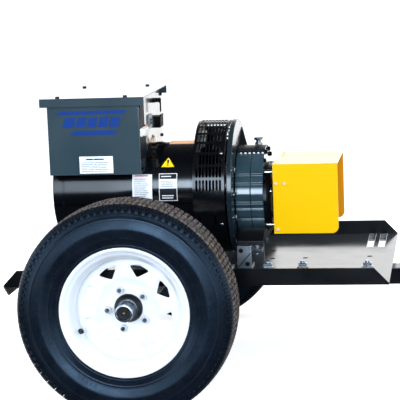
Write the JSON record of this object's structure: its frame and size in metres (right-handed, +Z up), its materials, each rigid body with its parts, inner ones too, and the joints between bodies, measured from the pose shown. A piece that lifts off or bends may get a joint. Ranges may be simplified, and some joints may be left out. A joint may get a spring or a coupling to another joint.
{
  "type": "towable generator",
  "caption": "Two-wheel trailer carrying a tractor-driven alternator with step-up gearbox, outlet box, drive shaft shield, drawbar hitch and drop stand.",
  "frame": {"origin": "centre of the bounding box, on the ground the tyres and stand foot rest on", "axes": "+X from the axle to the hitch (the longest extent), +Z up, -Y is the near side"},
  "size_m": [1.8, 1.395, 0.858],
  "materials": {
    "black_paint": "gloss black powder coat",
    "slate_paint": "satin blue-grey powder coat",
    "white_paint": "gloss white enamel",
    "yellow_paint": "gloss safety yellow",
    "zinc": "bright zinc plate",
    "machined_steel": "turned and ground",
    "core_steel": "varnished laminations",
    "fan_aluminium": "cast",
    "winding_copper": "varnished copper wire",
    "tyre_rubber": "moulded trailer tyre",
    "black_plastic": "moulded phenolic",
    "grey_plastic": "moulded",
    "ivory_plastic": "moulded",
    "lug_brass": "bare, slightly tarnished"
  },
  "bodies": {
    "frame": {"deck": "black_paint", "cross_member_1": "black_paint", "cross_member_2": "black_paint", "cross_member_3": "black_paint", "drawbar": "black_paint", "axle_beam": "black_paint", "hitch_clevis": "black_paint", "stand_sleeve": "black_paint", "barrel": "black_paint", "end_bell": "black_paint", "bearing_cap": "black_paint", "fan_guard": "black_paint", "adapter_flange": "black_paint", "front_cover": "black_paint", "near_pedestal": "black_paint", "far_pedestal": "black_paint", "rear_saddle": "black_paint", "shield_back": "black_paint", "gearbox_rear": "slate_paint", "gearbox_front": "slate_paint", "box_shell": "slate_paint", "outlet_panel": "slate_paint", "box_lid": "slate_paint", "pto_shield": "yellow_paint", "breather": "zinc", "standoff_upper_near": "zinc", "standoff_upper_far": "zinc", "standoff_lower_near": "zinc", "standoff_lower_far": "zinc", "near_spindle": "machined_steel", "far_spindle": "machined_steel", "rear_bearing": "machined_steel", "stator_core": "core_steel", "winding_rear": "winding_copper", "winding_front": "winding_copper", "voltage_regulator": "black_plastic", "disconnect_body": "black_plastic", "power_receptacle": "black_plastic", "breaker_bezel": "grey_plastic", "duplex_outlet": "ivory_plastic", "ground_lug": "lug_brass"},
    "near_wheel": {"near_tyre": "tyre_rubber", "near_rim": "white_paint", "near_hub": "machined_steel"},
    "far_wheel": {"far_tyre": "tyre_rubber", "far_rim": "white_paint", "far_hub": "machined_steel"},
    "rotor": {"rotor_shaft": "machined_steel", "rotor_core": "core_steel", "cooling_fan": "fan_aluminium"},
    "layshaft": {"counter_shaft": "machined_steel", "counter_gear": "machined_steel"},
    "drive_input": {"input_shaft": "machined_steel", "input_gear": "machined_steel"},
    "stand": {"stand_leg": "zinc"},
    "clamp": {"stand_clamp": "zinc"},
    "pin": {"hitch_pin": "zinc"},
    "lever": {"disconnect_lever": "black_plastic"},
    "rocker": {"breaker_rocker": "black_plastic"},
    "flap": {"receptacle_cover": "black_plastic"}
  },
  "joints": [
    {"name": "near_wheel_spin", "type": "hinge", "parent": "frame", "child": "near_wheel", "pos_m": [-0.485, -0.61, 0.306], "axis": [0, 1, 0], "continuous": true},
    {"name": "far_wheel_spin", "type": "hinge", "parent": "frame", "child": "far_wheel", "pos_m": [-0.485, 0.61, 0.306], "axis": [0, 1, 0], "continuous": true},
    {"name": "rotor_spin", "type": "hinge", "parent": "frame", "child": "rotor", "pos_m": [-0.485, 0, 0.554], "axis": [1, 0, 0], "continuous": true},
    {"name": "layshaft_spin", "type": "hinge", "parent": "frame", "child": "layshaft", "pos_m": [-0.195, 0, 0.482], "axis": [1, 0, 0], "continuous": true},
    {"name": "input_spin", "type": "hinge", "parent": "frame", "child": "drive_input", "pos_m": [-0.085, 0, 0.554], "axis": [1, 0, 0], "continuous": true},
    {"name": "stand_slide", "type": "slide", "parent": "frame", "child": "stand", "axis": [0, 0, 1], "range_m": [0, 0.18]},
    {"name": "clamp_turn", "type": "hinge", "parent": "frame", "child": "clamp", "pos_m": [0.525, -0.0633, 0.345], "axis": [0, 1, 0], "range_deg": [-360, 0]},
    {"name": "pin_slide", "type": "slide", "parent": "frame", "child": "pin", "axis": [0, 0, 1], "range_m": [0, 0.11]},
    {"name": "disconnect_turn", "type": "hinge", "parent": "frame", "child": "lever", "pos_m": [-0.493, 0.062, 0.8185], "axis": [1, 0, 0], "range_deg": [0, 90]},
    {"name": "rocker_tilt", "type": "hinge", "parent": "frame", "child": "rocker", "pos_m": [-0.511, -0.027, 0.762], "axis": [0, 1, 0], "range_deg": [-8, 8]},
    {"name": "flap_hinge", "type": "hinge", "parent": "frame", "child": "flap", "pos_m": [-0.493, 0.089, 0.7705], "axis": [0, -1, 0], "range_deg": [0, 110], "stiffness_Nm_per_rad": 0.01, "springref_deg": -11.46}
  ],
  "couplings": [
    {"joint": "layshaft_spin", "follows": "rotor_spin", "ratio": -0.54839},
    {"joint": "input_spin", "follows": "rotor_spin", "ratio": 0.30073}
  ]
}
